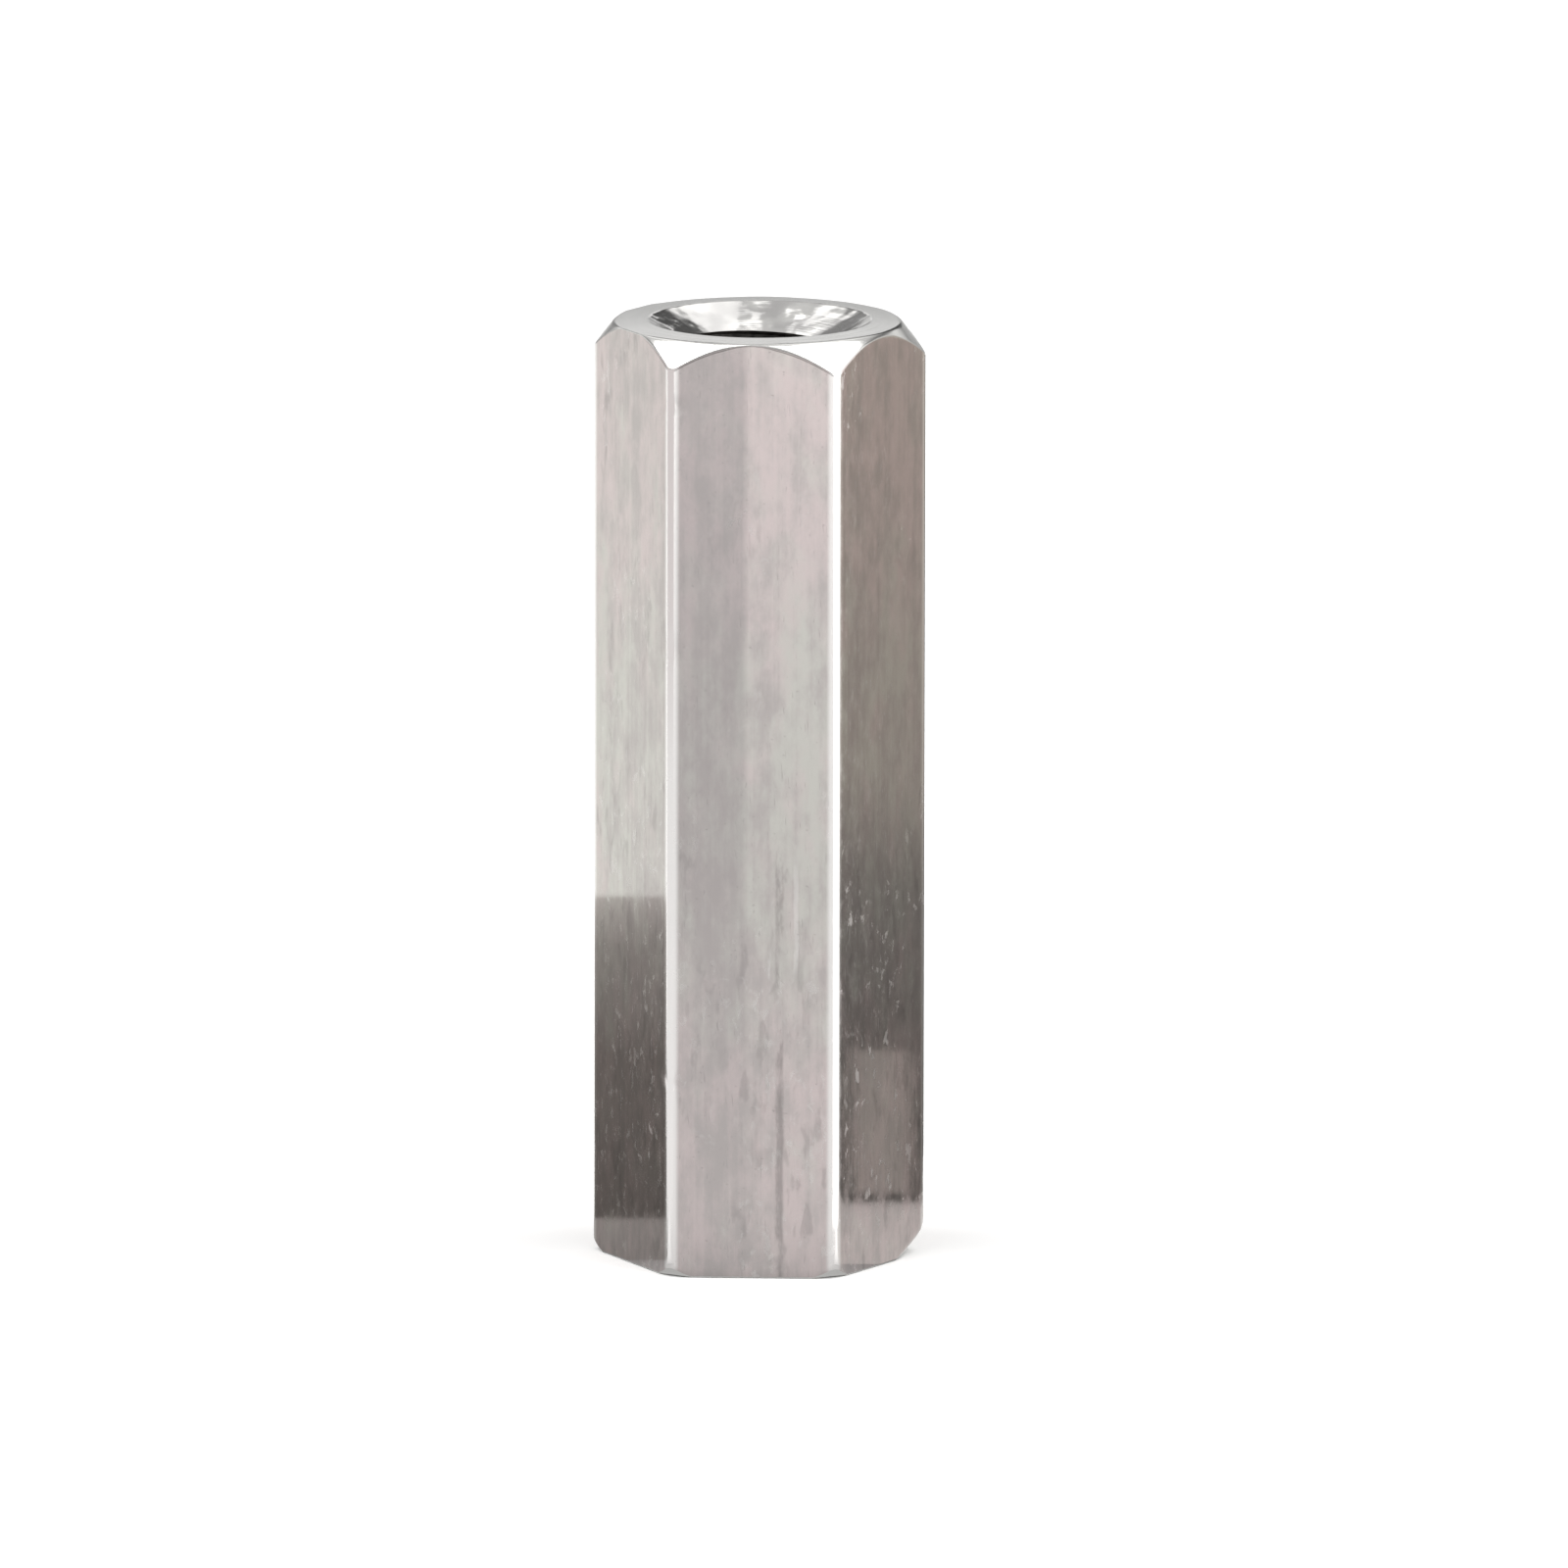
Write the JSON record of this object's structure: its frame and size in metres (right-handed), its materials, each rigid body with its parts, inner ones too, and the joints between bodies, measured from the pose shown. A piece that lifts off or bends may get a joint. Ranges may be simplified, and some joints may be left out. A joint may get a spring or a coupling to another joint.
{
  "type": "hex standoff",
  "caption": "Steel hex standoff with a tapped hole right through, countersunk at both ends, that spaces and joins two boards or panels.",
  "frame": {"origin": "centre of the foot, on the axis of the hole", "axes": "+Z along the hole from the foot to the chamfered end, with one flat facing -Y"},
  "size_m": [0.0062, 0.0054, 0.018],
  "materials": {
    "drawn_steel": "bright drawn flats with lengthwise marks, turned and polished ends"
  },
  "bodies": {
    "root": {"standoff": "drawn_steel"}
  },
  "joints": []
}
